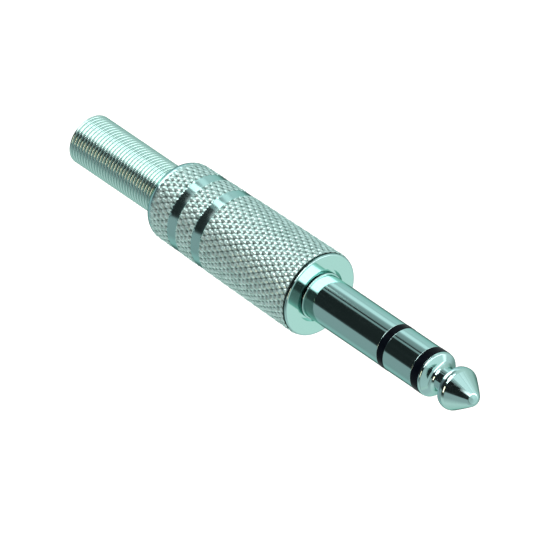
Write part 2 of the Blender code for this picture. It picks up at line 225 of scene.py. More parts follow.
off_card = add(
    room, "VectorMath", {1: DARK_CARD["towards"]}, [(0, direction, "Generated")],
    operation="DOT_PRODUCT",
)
carded = add(
    room, "MapRange",
    {
        "From Min": math.cos(math.radians(DARK_CARD["from"])),
        "From Max": math.cos(math.radians(DARK_CARD["to"])),
        "To Min": 1.0, "To Max": DARK_CARD["brightness"],
    },
    [("Value", off_card, "Value")],
)
mirror_strength = add(
    room, "Math", {1: MIRROR_BRIGHTEST}, [(0, carded, "Result")], operation="MULTIPLY"
)
plain_light = add(room, "Background", {"Color": linear(WHITE), "Strength": ROOM_BRIGHTNESS})
mirror_light = add(
    room, "Background", links=[("Color", mirror, output), ("Strength", mirror_strength, "Value")]
)
ray = add(room, "LightPath")
both = add(
    room, "MixShader",
    links=[
        (0, ray, "Is Glossy Ray"), (1, plain_light, "Background"),
        (2, mirror_light, "Background"),
    ],
)
room.links.new(both.outputs["Shader"], room.nodes["World Output"].inputs["Surface"])

floor_bm = bmesh.new()
bmesh.ops.create_grid(floor_bm, x_segments=1, y_segments=1, size=FLOOR_SIZE)
bmesh.ops.translate(floor_bm, verts=floor_bm.verts[:], vec=(0, 0, FLOOR_Z))
floor_mesh = bpy.data.meshes.new("white_floor")
floor_bm.to_mesh(floor_mesh)
floor_bm.free()
white_floor = bpy.data.objects.new("white_floor", floor_mesh)
white_floor.visible_glossy = False
bpy.context.scene.collection.objects.link(white_floor)
paper, _, paper_shader = start_surface("white_paper")
paper_shader.inputs["Base Color"].default_value = linear(PAPER)
paper_shader.inputs["Roughness"].default_value = PAPER_ROUGHNESS
paper_shader.inputs["Emission Color"].default_value = linear(WHITE)
paper_shader.inputs["Emission Strength"].default_value = PAPER_GLOW
floor_mesh.materials.append(paper)

# Tip contact. Turned from one bar of brass and bright nickel plated: a short land, a groove with
# steep faces and an arrow head, on a rod that runs back and is peened over the last solder lug.
ARC_STEPS = 16
LONG_FACE = 0.001
SUPPORT = 0.00008
MERGE_DISTANCE = 1e-7
SEAT = 0.00002
LAND_L = 0.0002
LAND_BACK_EDGE = 0.00006
LAND_FRONT_EDGE = 0.00034
FACE_ANGLE = 63
COVE_R = 0.001
NECK_R = 0.0017
NECK_L = 0.00124
NECK_FILLET_R = 0.0003
HEAD_R = 0.003025
HEAD_BACK_L = 0.00075
HEAD_BACK_EDGE = 0.00007
CROWN_R = 0.0017
CROWN_STOP = 1.5
SHOULDER_R = 0.0011
POINT_ANGLE = math.radians(34.6)
POINT_R = 0.0014
CONE_SWELL = 0.000026
CONE_STEPS = 12
ROD_R = 0.001
RIVET_R = 0.0016
RIVET_L = 0.0006


def arc(x, r, radius, start, end, steps=ARC_STEPS, squash=1.0):
    """Points (x, r) on an arc about (x, r). Degrees run from +X towards the outside."""
    points = []
    for i in range(steps + 1):
        angle = math.radians(start + (end - start) * i / steps)
        points.append((x + radius * math.cos(angle), r + radius * squash * math.sin(angle)))
    return points


def turn(outline, wedges=16, wedge_sides=12, closed=True):
    """A bmesh turned about X from an outline of (x, radius) points, as wedges set side by side. A
    point near each end of a long face keeps its shading level beside a rounded edge."""
    bm = bmesh.new()
    points = []
    for i, (x, r) in enumerate(outline):
        points.append(bm.verts.new((x, 0, r)))
        if i + 1 < len(outline) or closed:
            next_x, next_r = outline[(i + 1) % len(outline)]
            on_x, on_r = next_x - x, next_r - r
            length = math.hypot(on_x, on_r)
            if length > LONG_FACE:
                for share in (SUPPORT / length, 1 - SUPPORT / length):
                    points.append(bm.verts.new((x + on_x * share, 0, r + on_r * share)))
    for first, second in zip(points, points[1:]):
        bm.edges.new((first, second))
    if closed:
        bm.edges.new((points[-1], points[0]))
    bmesh.ops.spin(
        bm, geom=bm.verts[:] + bm.edges[:], cent=(0, 0, 0), axis=(1, 0, 0),
        angle=2 * math.pi / wedges, steps=wedge_sides,
    )
    wedge = bm.verts[:] + bm.edges[:] + bm.faces[:]
    for i in range(1, wedges):
        copy = bmesh.ops.duplicate(bm, geom=wedge)["geom"]
        bmesh.ops.rotate(
            bm, verts=[v for v in copy if isinstance(v, bmesh.types.BMVert)], cent=(0, 0, 0),
            matrix=Matrix.Rotation(2 * math.pi * i / wedges, 3, "X"),
        )
    bmesh.ops.remove_doubles(bm, verts=bm.verts[:], dist=MERGE_DISTANCE)
    bmesh.ops.recalc_face_normals(bm, faces=bm.faces[:])
    return bm


def make_piece(name, bm, material, node, body, sharp=35):
    """Makes the piece that stands for a CAD node, shaded smooth between its sharp edges."""
    mesh = bpy.data.meshes.new(name)
    bm.to_mesh(mesh)
    bm.free()
    mesh.shade_smooth()
    mesh.set_sharp_from_angle(angle=math.radians(sharp))
    mesh.materials.append(material)
    piece = bpy.data.objects.new(name, mesh)
    bpy.context.scene.collection.objects.link(piece)
    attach(piece, body)
    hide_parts(node)


# Bright nickel plate on turned brass. It mirrors like chrome but greener, and the eye catches the
# finest lathe rings and faint wiping marks only in its highlights.
NICKEL = "#b2cecb"
EDGE_TINT = "#b4d6cc"
NICKEL_SHINE, NICKEL_HAZE = 0.05, 0.12
LATHE_RING = 0.00016
LATHE_RING_DEPTH = 4e-7
WIPE_WIDTH = 0.0003
WIPE_L = 0.01
WIPE_DEPTH = 1.2e-6
MARK_STRENGTH = 0.25


def bright_nickel(name):
    material, tree, shader = start_surface(name)
    shader.inputs["Base Color"].default_value = linear(NICKEL)
    shader.inputs["Specular Tint"].default_value = linear(EDGE_TINT)
    shader.inputs["Metallic"].default_value = 1.0
    place = add(tree, "TexCoord")
    along = add(
        tree, "Mapping", {"Scale": (1 / LATHE_RING, 1, 1)}, [("Vector", place, "Object")]
    )
    rings = add(tree, "TexNoise", {"Scale": 1.0, "Detail": 3.0}, [("Vector", along, "Vector")])
    across = add(
        tree, "Mapping", {"Scale": (1 / WIPE_L, 1 / WIPE_WIDTH, 1 / WIPE_WIDTH)},
        [("Vector", place, "Object")],
    )
    wipes = add(tree, "TexNoise", {"Scale": 1.0, "Detail": 4.0}, [("Vector", across, "Vector")])
    rough = add(
        tree, "MapRange",
        {"From Min": 0.35, "From Max": 0.7, "To Min": NICKEL_SHINE, "To Max": NICKEL_HAZE},
        [("Value", wipes, "Fac")],
    )
    tree.links.new(rough.outputs["Result"], shader.inputs["Roughness"])
    fine = add(
        tree, "Bump", {"Strength": MARK_STRENGTH, "Distance": LATHE_RING_DEPTH},
        [("Height", rings, "Fac")],
    )
    marks = add(
        tree, "Bump", {"Strength": MARK_STRENGTH, "Distance": WIPE_DEPTH},
        [("Height", wipes, "Fac"), ("Normal", fine, "Normal")],
    )
    tree.links.new(marks.outputs["Normal"], shader.inputs["Normal"])
    return material


nickel = bright_nickel("bright_nickel_plate")
contact_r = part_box("ring_contact")[1].z
rivet_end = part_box("tip_contact")[0].x
tip_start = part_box("tip_insulator")[1].x + SEAT
land_front = tip_start - SEAT + LAND_L
face = math.radians(FACE_ANGLE)
edge_front = land_front + LAND_FRONT_EDGE * math.sin(face)
edge_r = contact_r - LAND_FRONT_EDGE * (1 - math.cos(face))
cove_top_r = NECK_R + COVE_R * (1 - math.cos(face))
neck_back = edge_front + (edge_r - cove_top_r) / math.tan(face) + COVE_R * math.sin(face)
neck_front = neck_back + NECK_L
crown_angle = math.asin(HEAD_BACK_L / CROWN_R)
head_back_r = HEAD_R - CROWN_R * (1 - math.cos(crown_angle))
head_back = neck_front + (head_back_r - NECK_R) / math.tan(face)
head_top = head_back + HEAD_BACK_L
cone_start_x = head_top + SHOULDER_R * math.sin(POINT_ANGLE)
cone_start_r = HEAD_R - SHOULDER_R * (1 - math.cos(POINT_ANGLE))
cone_l = (cone_start_r - POINT_R * math.cos(POINT_ANGLE)) / math.tan(POINT_ANGLE)
point_centre = cone_start_x + cone_l - POINT_R * math.sin(POINT_ANGLE)
cone_turn = 90 - math.degrees(POINT_ANGLE)
crown_turn = 90 + math.degrees(crown_angle)
face_turn = 90 + FACE_ANGLE
middle_turn = math.radians((crown_turn + face_turn) / 2)
edge_away = HEAD_BACK_EDGE / math.cos(math.radians((face_turn - crown_turn) / 2))
fillet_x = neck_front - NECK_FILLET_R * math.tan(face / 2)

tip_outline = [(point_centre + POINT_R, 0)]
tip_outline += arc(point_centre, 0, POINT_R, 0, cone_turn)[1:]
cone_end = tip_outline[-1]
for i in range(1, CONE_STEPS):
    share = i / CONE_STEPS
    swell = CONE_SWELL * 4 * share * (1 - share)
    tip_outline.append((
        cone_end[0] + (cone_start_x - cone_end[0]) * share + swell * math.sin(POINT_ANGLE),
        cone_end[1] + (cone_start_r - cone_end[1]) * share + swell * math.cos(POINT_ANGLE),
    ))
tip_outline += arc(head_top, HEAD_R - SHOULDER_R, SHOULDER_R, cone_turn, 90)
tip_outline += arc(
    head_top, HEAD_R - CROWN_R, CROWN_R, 90, crown_turn - CROWN_STOP, steps=10
)[1:]
tip_outline += arc(
    head_back - edge_away * math.cos(middle_turn), head_back_r - edge_away * math.sin(middle_turn),
    HEAD_BACK_EDGE, crown_turn, face_turn, steps=5,
)
tip_outline += arc(
    fillet_x, NECK_R + NECK_FILLET_R, NECK_FILLET_R, 270 + FACE_ANGLE, 270, steps=10
)
tip_outline += arc(neck_back, NECK_R + COVE_R, COVE_R, 270, 270 - FACE_ANGLE)
tip_outline += arc(
    land_front, contact_r - LAND_FRONT_EDGE, LAND_FRONT_EDGE, 90 - FACE_ANGLE, 90, steps=8
)
tip_outline += arc(
    tip_start + LAND_BACK_EDGE, contact_r - LAND_BACK_EDGE, LAND_BACK_EDGE, 90, 180, steps=4
)
tip_outline += [(tip_start, ROD_R), (rivet_end + RIVET_L, ROD_R), (rivet_end + RIVET_L, RIVET_R)]
tip_outline += arc(
    rivet_end + RIVET_L, 0, RIVET_L, 90, 180, steps=8, squash=RIVET_R / RIVET_L
)[1:-1]
tip_outline += [(rivet_end, 0)]
make_piece(
    "tip_contact_turned", turn(tip_outline, closed=False), nickel, "tip_contact", "plug",
)

# Insulating collars. Black acetal mouldings between the contacts, each with a thin tube behind it
# that keeps the nested metal tubes apart. Their edges are a little proud and softly rounded.
COLLAR_EDGE = 0.00006
ROD_CLEARANCE = 0.00005
TUBE_WALL = 0.00045
COLLAR_BLACK = "#020407"
COLLAR_CLOUD = "#060b14"
COLLAR_CLOUDS_PER_M = 900.0
COLLAR_SHINE, COLLAR_HAZE = 0.22, 0.36
COLLAR_GLINT = 0.04
ACETAL_IOR = 1.48
MOULD_GRAINS_PER_M = 9000.0
MOULD_GRAIN_DEPTH = 3e-6
# Nearly all of a noise texture's values lie in this range.
NOISE_RANGE = {"From Min": 0.3, "From Max": 0.7}


def black_acetal(name):
    material, tree, shader = start_surface(name)
    shader.inputs["IOR"].default_value = ACETAL_IOR
    shader.inputs["Specular IOR Level"].default_value = COLLAR_GLINT
    place = add(tree, "TexCoord")
    cloud = add(
        tree, "TexNoise", {"Scale": COLLAR_CLOUDS_PER_M, "Detail": 4.0},
        [("Vector", place, "Object")],
    )
    tone = add(tree, "ValToRGB", links=[("Fac", cloud, "Fac")])
    tone.color_ramp.elements[0].color = linear(COLLAR_BLACK)
    tone.color_ramp.elements[1].color = linear(COLLAR_CLOUD)
    tree.links.new(tone.outputs["Color"], shader.inputs["Base Color"])
    rough = add(
        tree, "MapRange", {**NOISE_RANGE, "To Min": COLLAR_SHINE, "To Max": COLLAR_HAZE},
        [("Value", cloud, "Fac")],
    )
    tree.links.new(rough.outputs["Result"], shader.inputs["Roughness"])
    grain = add(tree, "TexNoise", {"Scale": MOULD_GRAINS_PER_M}, [("Vector", place, "Object")])
    skin = add(
        tree, "Bump", {"Strength": 0.2, "Distance": MOULD_GRAIN_DEPTH}, [("Height", grain, "Fac")]
    )
    tree.links.new(skin.outputs["Normal"], shader.inputs["Normal"])
    return material


acetal = black_acetal("black_acetal")


def collar(name, node, tube_in, back):
    """A collar from its CAD node's front face back to the next contact, with the tube behind it."""
    low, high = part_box(node)
    front = high.x
    collar_r = high.z
    tube_out = tube_in + TUBE_WALL
    outline = [(front, tube_in)]
    outline += arc(front - COLLAR_EDGE, collar_r - COLLAR_EDGE, COLLAR_EDGE, 0, 90, steps=5)
    outline += arc(back + COLLAR_EDGE, collar_r - COLLAR_EDGE, COLLAR_EDGE, 90, 180, steps=5)
    outline += [(back, tube_out), (low.x, tube_out), (low.x, tube_in)]
    make_piece(name, turn(outline), acetal, node, "plug")
    return tube_out


ring_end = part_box("ring_contact")[1].x
sleeve_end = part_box("plug_body")[1].x
tip_tube_out = collar("front_collar", "tip_insulator", ROD_R + ROD_CLEARANCE, ring_end + SEAT)

# Ring contact. A turned band of the same plated brass between the collars, whose own tube runs back
# to the solder lug and is flared over it.
RING_TUBE_WALL = 0.0004
CONTACT_EDGE = 0.00005
FLARE_LIP = 0.0003
FLARE_L = 0.0002

ring_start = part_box("ring_insulator")[1].x + SEAT
ring_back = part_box("ring_contact")[0].x
ring_tube_in = tip_tube_out + ROD_CLEARANCE
ring_tube_out = ring_tube_in + RING_TUBE_WALL
ring_outline = [(ring_end, ring_tube_in)]
ring_outline += arc(
    ring_end - CONTACT_EDGE, contact_r - CONTACT_EDGE, CONTACT_EDGE, 0, 90, steps=4
)
ring_outline += arc(
    ring_start + CONTACT_EDGE, contact_r - CONTACT_EDGE, CONTACT_EDGE, 90, 180, steps=4
)
ring_outline += [
    (ring_start, ring_tube_out),
    (ring_back + FLARE_L, ring_tube_out),
    (ring_back + FLARE_L, ring_tube_out + FLARE_LIP),
    (ring_back, ring_tube_out + FLARE_LIP),
    (ring_back, ring_tube_in),
]
make_piece(
    "ring_contact_turned", turn(ring_outline), nickel, "ring_contact", "plug"
)
rear_tube_out = collar(
    "rear_collar", "ring_insulator", ring_tube_out + ROD_CLEARANCE, sleeve_end + SEAT
)

# Plug body. The sleeve contact, the low band at its root, the polished flange and the threaded
# stub are turned in one piece. A narrow trench parts the band from the flange's face, and the
# stub's 0.75 mm thread is one helical ridge on its core.
ROOT_R = 0.00337
ROOT_L = 0.00042
ROOT_EDGE = 0.00012
TRENCH_R = 0.00378
TRENCH_DEPTH = 0.0005
FLANGE_R = 0.00587
FLANGE_T = 0.0005
FLANGE_EDGE = 0.0002
UNDERCUT_L = 0.0002
UNDERCUT_DEPTH = 0.0009
STUB_R = 0.00455
STUB_L = 0.006
RELIEF_R = 0.0043
RELIEF_L = 0.0005
STUB_CHAMFER = 0.0002
SPIGOT_WALL = 0.0004
STAKE_LIP = 0.0002
STAKE_L = 0.0002
THREAD_PITCH = 0.00075
THREAD_CREST_R = 0.00495
THREAD_CREST_W = THREAD_PITCH / 8
THREAD_FLANK = math.radians(30)
THREAD_SIDES = 96
CUT_TOLERANCE = 1e-9


def wind(bm, pitch, sides, turns):
    """Winds a closed section about X into so many turns of a helix. It is right-handed where the
    pitch is above zero, and left-handed where it is below."""
    bmesh.ops.spin(
        bm, geom=bm.verts[:] + bm.edges[:], cent=(0, 0, 0), axis=(1, 0, 0),
        dvec=(pitch / sides, 0, 0), angle=2 * math.pi, steps=sides,
    )
    coil = bm.verts[:] + bm.edges[:] + bm.faces[:]
    for i in range(1, turns):
        copy = bmesh.ops.duplicate(bm, geom=coil)["geom"]
        verts = [v for v in copy if isinstance(v, bmesh.types.BMVert)]
        bmesh.ops.translate(bm, verts=verts, vec=(pitch * i, 0, 0))
    bmesh.ops.remove_doubles(bm, verts=bm.verts[:], dist=MERGE_DISTANCE)


def thread_ridge(bm, root_r, crest_r, start, end, shift):
    """Adds a helical ridge about X from start to end, its flanks 60 degrees apart. The shift is how
    far its crest lies along the pitch. Its root is sunk a little in the metal that carries it."""
    half_crest = THREAD_CREST_W / 2
    half_root = abs(crest_r - root_r) * math.tan(THREAD_FLANK) + half_crest
    first = start - THREAD_PITCH + shift
    section = [
        (first - half_root, root_r), (first - half_crest, crest_r),
        (first + half_crest, crest_r), (first + half_root, root_r),
    ]
    ridge = bmesh.new()
    corners = [ridge.verts.new((x, 0, r)) for x, r in section]
    for corner, following in zip(corners, corners[1:] + corners[:1]):
        ridge.edges.new((corner, following))
    wind(ridge, THREAD_PITCH, THREAD_SIDES, math.ceil((end - start) / THREAD_PITCH) + 2)
    for x, side in ((start, -1), (end, 1)):
        cut = bmesh.ops.bisect_plane(
            ridge, geom=ridge.verts[:] + ridge.edges[:] + ridge.faces[:], dist=CUT_TOLERANCE,
            plane_co=(x, 0, 0), plane_no=(side, 0, 0), clear_outer=True,
        )
        edges = [e for e in cut["geom_cut"] if isinstance(e, bmesh.types.BMEdge)]
        bmesh.ops.edgenet_fill(ridge, edges=edges)
    bmesh.ops.recalc_face_normals(ridge, faces=ridge.faces[:])
    carrier = bpy.data.meshes.new("ridge")
    ridge.to_mesh(carrier)
    ridge.free()
    bm.from_mesh(carrier)
    bpy.data.meshes.remove(carrier)


stub_end = -FLANGE_T - STUB_L
body_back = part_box("plug_body")[0].x
body_bore_r = rear_tube_out + ROD_CLEARANCE
spigot_r = body_bore_r + SPIGOT_WALL
body_outline = [(sleeve_end, body_bore_r)]
body_outline += arc(
    sleeve_end - CONTACT_EDGE, contact_r - CONTACT_EDGE, CONTACT_EDGE, 0, 90, steps=4
)
body_outline += [(ROOT_L, contact_r)]
body_outline += arc(ROOT_L - ROOT_EDGE, ROOT_R - ROOT_EDGE, ROOT_EDGE, 0, 90, steps=6)
body_outline += [(-TRENCH_DEPTH, ROOT_R), (-TRENCH_DEPTH, TRENCH_R), (0, TRENCH_R)]
body_outline += arc(-FLANGE_EDGE, FLANGE_R - FLANGE_EDGE, FLANGE_EDGE, 0, 90, steps=10)
body_outline += [
    (UNDERCUT_L - FLANGE_T, FLANGE_R),
    (UNDERCUT_L - FLANGE_T, FLANGE_R - UNDERCUT_DEPTH),
    (-FLANGE_T, FLANGE_R - UNDERCUT_DEPTH),
    (-FLANGE_T, RELIEF_R),
    (-FLANGE_T - RELIEF_L, RELIEF_R),
    (-FLANGE_T - RELIEF_L - STUB_CHAMFER, STUB_R),
    (stub_end + STUB_CHAMFER, STUB_R),
    (stub_end, STUB_R - STUB_CHAMFER),
    (stub_end, spigot_r),
    (body_back + STAKE_L, spigot_r),
    (body_back + STAKE_L, spigot_r + STAKE_LIP),
    (body_back, spigot_r + STAKE_LIP),
    (body_back, body_bore_r),
]
body_bm = turn(body_outline)
thread_ridge(
    body_bm, STUB_R - SEAT, THREAD_CREST_R, stub_end + STUB_CHAMFER,
    -FLANGE_T - RELIEF_L - STUB_CHAMFER, 0.0,
)
make_piece("plug_body_turned", body_bm, nickel, "plug_body", "plug")

# Earth plate and solder lugs. Stamped from brass strip and hot tinned, so their edges are rounded
# by the tin. They are staked behind the body, each on its own tube, and the earth plate's jaws are
# bent round the cable.
STAMPED_EDGE = 0.00005
FLAT_ANGLE = math.radians(0.5)
CORNER_ANGLE = 0.7
TIN = "#c6c8c2"
TIN_BRASSY = "#b3a888"
TIN_SHINE, TIN_HAZE = 0.24, 0.42
TIN_POOL = 0.0012
TIN_RIPPLE = 2e-5


def hot_tin(name):
    material, tree, shader = start_surface(name)
    shader.inputs["Metallic"].default_value = 1.0
    place = add(tree, "TexCoord")
    pools = add(
        tree, "TexNoise", {"Scale": 1 / TIN_POOL, "Detail": 4.0}, [("Vector", place, "Object")]
    )
    tone = add(tree, "ValToRGB", links=[("Fac", pools, "Fac")])
    tone.color_ramp.elements[0].position = 0.35
    tone.color_ramp.elements[0].color = linear(TIN_BRASSY)
    tone.color_ramp.elements[1].position = 0.55
    tone.color_ramp.elements[1].color = linear(TIN)
    tree.links.new(tone.outputs["Color"], shader.inputs["Base Color"])
    rough = add(
        tree, "MapRange", {**NOISE_RANGE, "To Min": TIN_HAZE, "To Max": TIN_SHINE},
        [("Value", pools, "Fac")],
    )
    tree.links.new(rough.outputs["Result"], shader.inputs["Roughness"])
    ripple = add(
        tree, "Bump", {"Strength": 0.5, "Distance": TIN_RIPPLE}, [("Height", pools, "Fac")]
    )
    tree.links.new(ripple.outputs["Normal"], shader.inputs["Normal"])
    return material


tin = hot_tin("hot_tinned_brass")


def stamp(name, node):
    """A stamped terminal in the form of its CAD node, with its sharp edges rounded."""
    bm = bmesh.new()
    bm.from_mesh(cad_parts[node].data)
    bmesh.ops.remove_doubles(bm, verts=bm.verts[:], dist=MERGE_DISTANCE)
    bmesh.ops.dissolve_limit(
        bm, angle_limit=FLAT_ANGLE, verts=bm.verts[:], edges=bm.edges[:]
    )
    corners = [
        e for e in bm.edges if len(e.link_faces) == 2 and e.calc_face_angle() > CORNER_ANGLE
    ]
    bmesh.ops.bevel(
        bm, geom=corners, offset=STAMPED_EDGE, offset_type="OFFSET", affect="EDGES", segments=2,
        profile=0.5, material=-1, clamp_overlap=True,
    )
    make_piece(name, bm, tin, node, "plug", sharp=50)


stamp("stamped_earth_plate", "sleeve_terminal")
stamp("stamped_ring_lug", "ring_terminal")
stamp("stamped_tip_lug", "tip_terminal")

# Fibre washers. Punched from vulcanised fibre sheet, red brown and dull, with faint paper fibres.
# They part the earth plate and the two solder lugs.
PUNCHED_EDGE = 0.00004
FIBRE = "#7b4b37"
FIBRE_PALE = "#96664d"
FIBRE_ROUGHNESS = 0.68
FIBRE_WIDTH = 0.00008
FIBRE_L = 0.0008
FIBRE_NAP = 1e-5
BODY_WASHER_HOLE_R = 0.002
LUG_WASHER_HOLE_R = 0.00105


def vulcanised_fibre(name):
    material, tree, shader = start_surface(name)
    shader.inputs["Roughness"].default_value = FIBRE_ROUGHNESS
    place = add(tree, "TexCoord")
    stretched = add(
        tree, "Mapping", {"Scale": (1 / FIBRE_WIDTH, 1 / FIBRE_L, 1 / FIBRE_WIDTH)},
        [("Vector", place, "Object")],
    )
    strands = add(
        tree, "TexNoise", {"Scale": 1.0, "Detail": 4.0}, [("Vector", stretched, "Vector")]
    )
    tone = add(tree, "ValToRGB", links=[("Fac", strands, "Fac")])
    tone.color_ramp.elements[0].position = 0.35
    tone.color_ramp.elements[0].color = linear(FIBRE)
    tone.color_ramp.elements[1].position = 0.7
    tone.color_ramp.elements[1].color = linear(FIBRE_PALE)
    tree.links.new(tone.outputs["Color"], shader.inputs["Base Color"])
    nap = add(
        tree, "Bump", {"Strength": 0.4, "Distance": FIBRE_NAP}, [("Height", strands, "Fac")]
    )
    tree.links.new(nap.outputs["Normal"], shader.inputs["Normal"])
    return material


fibre = vulcanised_fibre("vulcanised_fibre")


def plain_ring(node, hole_r, edge):
    """A plain ring or tube as long and wide as its CAD node, with its four edges rounded."""
    low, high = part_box(node)
    outline = []
    for x, radius, start in (
        (high.x - edge, high.z - edge, 0),
        (low.x + edge, high.z - edge, 90),
        (low.x + edge, hole_r + edge, 180),
        (high.x - edge, hole_r + edge, 270),
    ):
        outline += arc(x, radius, edge, start, start + 90, steps=3)
    return turn(outline)


for name, node, hole_r in (
    ("punched_body_washer", "body_washer", BODY_WASHER_HOLE_R),
    ("punched_lug_washer", "terminal_washer", LUG_WASHER_HOLE_R),
):
    make_piece(
        name, plain_ring(node, hole_r, PUNCHED_EDGE), fibre, node, "plug"
    )

# Liner. A short length of extruded natural tube round the terminals, which keeps solder and stray
# strands off the barrel. It is milky and a little see-through, and its ends are cut square.
LINER_IN_R = 0.00415
LINER_EDGE = 0.00006
NATURAL = "#e9ebe4"
NATURAL_CLOUD = "#dfe2da"
NATURAL_CLOUD_SIZE = 0.004
TUBE_IOR = 1.5
TUBE_GLOW = 0.4
TUBE_GLOW_REACH = 0.001
TUBE_SHINE, TUBE_HAZE = 0.3, 0.42
DRAWN_LINES_PER_M = (150, 9000, 9000)
DRAWN_LINE_DEPTH = 6e-6


def natural_tube(name):
    material, tree, shader = start_surface(name)
    shader.inputs["IOR"].default_value = TUBE_IOR
    shader.inputs["Subsurface Weight"].default_value = TUBE_GLOW
    shader.inputs["Subsurface Scale"].default_value = TUBE_GLOW_REACH
    place = add(tree, "TexCoord")
    cloud = add(
        tree, "TexNoise", {"Scale": 1 / NATURAL_CLOUD_SIZE, "Detail": 3.0},
        [("Vector", place, "Object")],
    )
    tone = add(tree, "ValToRGB", links=[("Fac", cloud, "Fac")])
    tone.color_ramp.elements[0].color = linear(NATURAL_CLOUD)
    tone.color_ramp.elements[1].color = linear(NATURAL)
    tree.links.new(tone.outputs["Color"], shader.inputs["Base Color"])
    drawn = add(
        tree, "Mapping", {"Scale": DRAWN_LINES_PER_M}, [("Vector", place, "Object")]
    )
    lines = add(tree, "TexNoise", {"Scale": 1.0, "Detail": 2.0}, [("Vector", drawn, "Vector")])
    rough = add(
        tree, "MapRange", {**NOISE_RANGE, "To Min": TUBE_SHINE, "To Max": TUBE_HAZE},
        [("Value", cloud, "Fac")],
    )
    tree.links.new(rough.outputs["Result"], shader.inputs["Roughness"])
    skin = add(
        tree, "Bump", {"Strength": 0.2, "Distance": DRAWN_LINE_DEPTH}, [("Height", lines, "Fac")]
    )
    tree.links.new(skin.outputs["Normal"], shader.inputs["Normal"])
    return material


make_piece(
    "cut_liner_tube", plain_ring("liner", LINER_IN_R, LINER_EDGE),
    natural_tube("natural_extruded_tube"), "liner", "liner",
)

# Barrel. A tapered brass shell with a round rear, diamond knurled with two helical wheels, which
# run off on that round. Two smooth grooves are turned in it, and it is plated in satin nickel.
RIM_EDGE = 0.00008
RIM_WALL = 0.00018
RIM_SINK = 0.0004
DOME_R = 0.0025
HOLE_EDGE = 0.00015
REAR_WALL = 0.0017
GROOVE_W = 0.0019
GROOVE_DEPTH = 0.00007
GROOVE_SIDE = 0.00004
GROOVE_CHAMFER = 0.00003
GROOVE_STEPS = 8
GROOVE_1_FROM_REAR = 0.0028
GROOVE_SPACING = 0.00475
BARREL_L = 0.0263
REAR_R = 0.005635
BORE_R = 0.00475
THREAD_BORE_R = 0.005
BARREL_THREAD_CREST_R = 0.00465
SPRING_HOLE_R = 0.003675
BORE_STEP_L = 0.0007
KNURL_STARTS = 40
KNURL_LENGTH = 0.0015625
KNURL_STEPS = 10
KNURL_DEPTH_FRONT = 0.00025
KNURL_DEPTH_REAR = 0.00017
KNURL_FLAT = 0.9
KNURL_CUT = 0.45
KNURL_ROW_GAP = 0.3
KNURL_LOWEST = 0.99
KNURL_WANDER_FRONT = 0.05
KNURL_WANDER_REAR = 0.2
KNURL_WANDER_SIZE = 0.0011
KNURL_WANDER_SEED = 40
KNURL_RIM_FADE = 0.0002
KNURL_REAR_FADE = 0.0006
KNURL_OVER_DOME = 0.0008
SHELL_SKIN = 0.0009

barrel_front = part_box("barrel")[1].x
rim_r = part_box("barrel")[1].z
dome_x = barrel_front - BARREL_L
dome_centre_r = REAR_R - DOME_R
hole_reach = SPRING_HOLE_R + HOLE_EDGE - dome_centre_r
rear_end = dome_x - math.sqrt(DOME_R ** 2 - hole_reach ** 2)
shoulder = rear_end + REAR_WALL
row = KNURL_LENGTH / KNURL_STEPS


def outside(x):
    """The barrel's outer radius: its taper, then the start of its round rear."""
    if x < dome_x:
        return dome_centre_r + math.sqrt(DOME_R ** 2 - (dome_x - x) ** 2)
    return rim_r + (REAR_R - rim_r) * (barrel_front - x) / BARREL_L


def rearward(x):
    """How far back on the barrel, from 0 at its front to 1 where its round rear starts."""
    return min(max((barrel_front - x) / BARREL_L, 0), 1)


knurl_end = dome_x - KNURL_OVER_DOME
groove_1 = dome_x + GROOVE_1_FROM_REAR
groove_2 = groove_1 + GROOVE_SPACING
bands = [
    (barrel_front - RIM_EDGE, groove_2 + GROOVE_W),
    (groove_2, groove_1 + GROOVE_W),
    (groove_1, knurl_end),
]


def crest(x, angle, place):
    """How high the knurl stands at a place, from 0 where two grooves cross to 1 on a diamond's top.
    The wheels' two families of ridges make pyramids where the lower one counts, and soft mounds
    where their mean does, and this is a mix. They wander more towards the rear."""
    around = KNURL_STARTS * angle / (2 * math.pi)
    along = x / KNURL_LENGTH
    spread = KNURL_WANDER_REAR - KNURL_WANDER_FRONT
    wander = KNURL_WANDER_FRONT + spread * rearward(x) ** 2
    drift = noise.noise_vector(place / KNURL_WANDER_SIZE) * wander
    phases = (around + along + drift.x, around - along + drift.y)
    heights = [1 - abs(1 - 2 * (phase - math.floor(phase))) for phase in phases]
    height = min(heights) * KNURL_CUT + sum(heights) / 2 * (1 - KNURL_CUT)
    return min(height / KNURL_FLAT, 1)


barrel_outline = [
    (barrel_front - RIM_SINK, THREAD_BORE_R),
    (barrel_front - RIM_SINK, rim_r - RIM_WALL - RIM_SINK / 2),
    (barrel_front, rim_r - RIM_WALL),
]
barrel_outline += arc(barrel_front - RIM_EDGE, rim_r - RIM_EDGE, RIM_EDGE, 0, 90, steps=6)[1:-1]
for front, back in bands:
    barrel_outline.append((front, outside(front)))
    first_row = math.floor(front / row - KNURL_ROW_GAP)
    last_row = math.ceil(back / row + KNURL_ROW_GAP)
    for i in range(first_row, last_row - 1, -1):
        barrel_outline.append((i * row, outside(i * row)))
    barrel_outline.append((back, outside(back)))
    if back > dome_x:
        for i in range(GROOVE_STEPS + 1):
            x = back - GROOVE_CHAMFER - (GROOVE_W - 2 * GROOVE_CHAMFER) * i / GROOVE_STEPS
            bow = 1 - (2 * i / GROOVE_STEPS - 1) ** 2
            groove_r = outside(x) - GROOVE_SIDE - (GROOVE_DEPTH - GROOVE_SIDE) * bow
            barrel_outline.append((x, groove_r))
end_angle = 180 - math.degrees(math.asin(hole_reach / DOME_R))
start_angle = 90 + math.degrees(math.asin(KNURL_OVER_DOME / DOME_R))
barrel_outline += arc(dome_x, dome_centre_r, DOME_R, start_angle, end_angle, steps=12)[1:]
